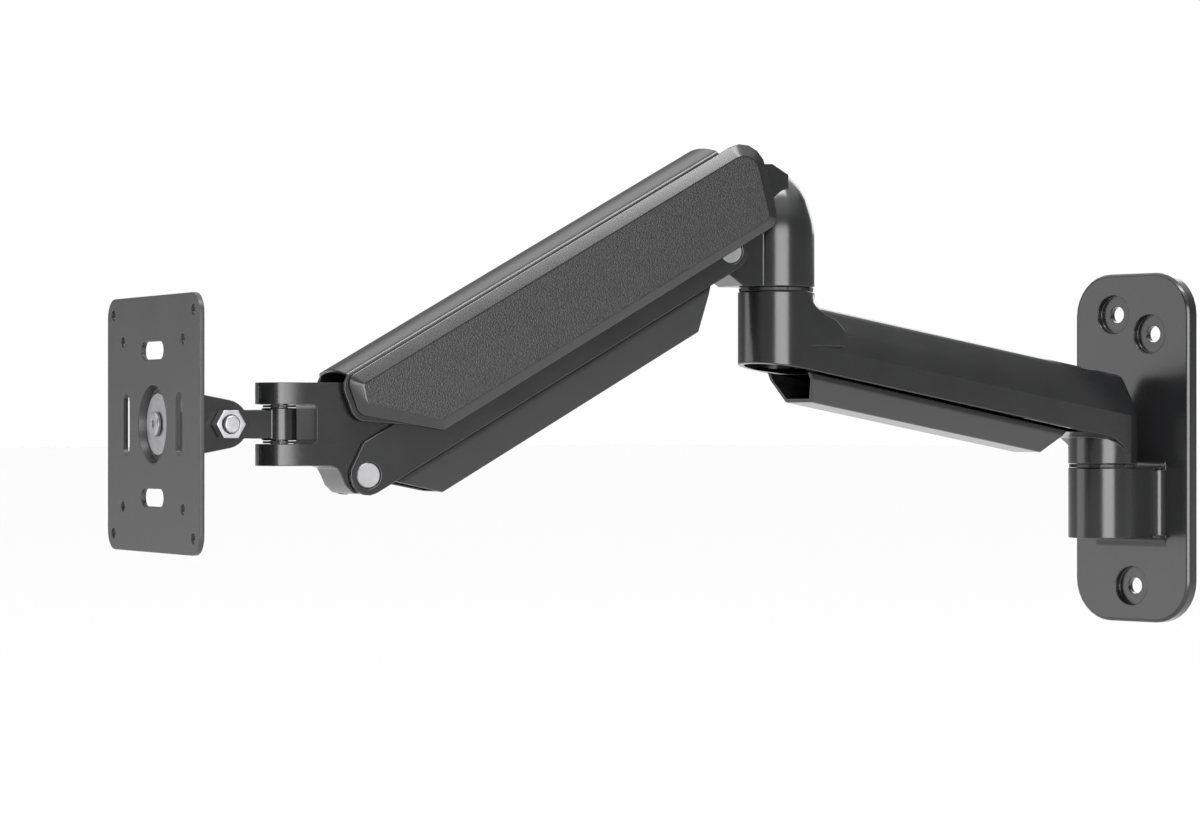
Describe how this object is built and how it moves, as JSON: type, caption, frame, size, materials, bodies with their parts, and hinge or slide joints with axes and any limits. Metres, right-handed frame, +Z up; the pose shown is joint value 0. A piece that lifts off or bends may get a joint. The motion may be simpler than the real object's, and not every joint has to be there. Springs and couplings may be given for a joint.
{
  "type": "monitor arm",
  "caption": "Wall-mounted single monitor arm with a swivelling extension arm, a gas-spring parallelogram arm and a pan, tilt and turn screen plate.",
  "frame": {"origin": "middle of the wall plate's back face", "axes": "+Z up, +Y into the wall, +X to the right seen from the room; the arm reaches out along -Y"},
  "size_m": [0.1848, 0.6191, 0.2424],
  "materials": {
    "casting": "satin black paint on die-cast metal and folded steel",
    "plastic": "matt black moulded cable covers",
    "grained": "black moulded plastic, fine spark grain on the side panels",
    "steel": "satin plated steel pins and posts",
    "cylinder": "gloss black gas-spring tube",
    "nylon": "black nylon bushes and washers",
    "zinc": "zinc-plated fasteners"
  },
  "bodies": {
    "wall_mount": {"wall_bracket": "casting", "wall_notched_bush": "nylon", "wall_lower_bush": "nylon"},
    "extension": {"extension_arm": "casting", "extension_cable_cover": "plastic", "wall_pivot_post": "steel", "wall_retaining_washer": "zinc", "wall_retaining_screw": "zinc", "elbow_notched_bush": "nylon", "elbow_lower_bush": "nylon"},
    "elbow": {"elbow_bracket": "casting", "elbow_pivot_post": "steel", "elbow_retaining_washer": "zinc", "elbow_retaining_screw": "zinc", "spring_anchor_pin": "steel", "lower_elbow_bush_left": "nylon", "lower_elbow_bush_right": "nylon", "upper_elbow_bush_left": "nylon", "upper_elbow_bush_right": "nylon"},
    "lower_link": {"lower_arm_link": "casting", "spring_cable_cover": "plastic", "lower_elbow_pin": "steel", "lower_head_pin": "steel"},
    "upper_arm": {"upper_arm_shell": "casting", "right_side_cover": "grained", "left_side_cover": "grained", "gas_spring_cylinder": "cylinder", "gas_spring_gland": "zinc", "spring_rear_pin": "steel", "spring_carriage": "zinc", "tension_screw": "zinc", "tension_screw_bracket": "zinc", "upper_elbow_pin": "steel", "upper_head_pin": "steel"},
    "spring_rod": {"gas_spring_rod": "steel"},
    "head": {"head_bracket": "casting", "lower_head_bush": "nylon", "upper_head_bush_left": "nylon", "upper_head_bush_right": "nylon", "pan_pin": "steel"},
    "knuckle": {"knuckle": "casting", "upper_pan_washer": "nylon", "lower_pan_washer": "nylon"},
    "yoke": {"tilt_yoke": "casting", "tilt_bolt": "zinc", "tilt_nut": "zinc", "tilt_washer_left": "nylon", "tilt_washer_right": "nylon", "turning_washer": "nylon", "clamp_disc": "zinc", "centre_screw": "zinc"},
    "screen_plate": {"vesa_plate": "casting"}
  },
  "joints": [
    {"name": "wall_swivel", "type": "hinge", "parent": "wall_mount", "child": "extension", "pos_m": [0, -0.0323, 0], "axis": [0, 0, 1], "range_deg": [-90, 90]},
    {"name": "elbow_swivel", "type": "hinge", "parent": "extension", "child": "elbow", "pos_m": [0, -0.2913, 0], "axis": [0, 0, 1], "range_deg": [-104, 136]},
    {"name": "arm_lift", "type": "hinge", "parent": "elbow", "child": "upper_arm", "pos_m": [-0.00766, -0.3175, 0.1289], "axis": [-0.9598, 0.2807, 0], "range_deg": [-10, 65]},
    {"name": "lower_link_turn", "type": "hinge", "parent": "elbow", "child": "lower_link", "pos_m": [-0.00935, -0.32326, 0.0959], "axis": [-0.9598, 0.2807, 0], "range_deg": [-10, 65]},
    {"name": "head_level", "type": "hinge", "parent": "upper_arm", "child": "head", "pos_m": [-0.06144, -0.50141, 0.02182], "axis": [-0.9598, 0.2807, 0], "range_deg": [-65, 10]},
    {"name": "spring_stroke", "type": "slide", "parent": "upper_arm", "child": "spring_rod", "axis": [0.2589, 0.8855, 0.3857], "range_m": [-0.00404, 0.02074]},
    {"name": "head_pan", "type": "hinge", "parent": "head", "child": "knuckle", "pos_m": [-0.07384, -0.54383, 0.01222], "axis": [0, 0, 1], "range_deg": [-90, 90]},
    {"name": "head_tilt", "type": "hinge", "parent": "knuckle", "child": "yoke", "pos_m": [-0.08283, -0.57454, 0.01222], "axis": [-0.9598, 0.2807, 0], "range_deg": [-35, 35]},
    {"name": "plate_turn", "type": "hinge", "parent": "yoke", "child": "screen_plate", "pos_m": [-0.0904, -0.60046, 0.01222], "axis": [-0.2807, -0.9598, 0], "range_deg": [-90, 90]}
  ],
  "couplings": [
    {"joint": "lower_link_turn", "follows": "arm_lift", "ratio": 1},
    {"joint": "head_level", "follows": "arm_lift", "ratio": -1},
    {"joint": "spring_stroke", "follows": "arm_lift", "m_per_rad": 0.0174}
  ]
}
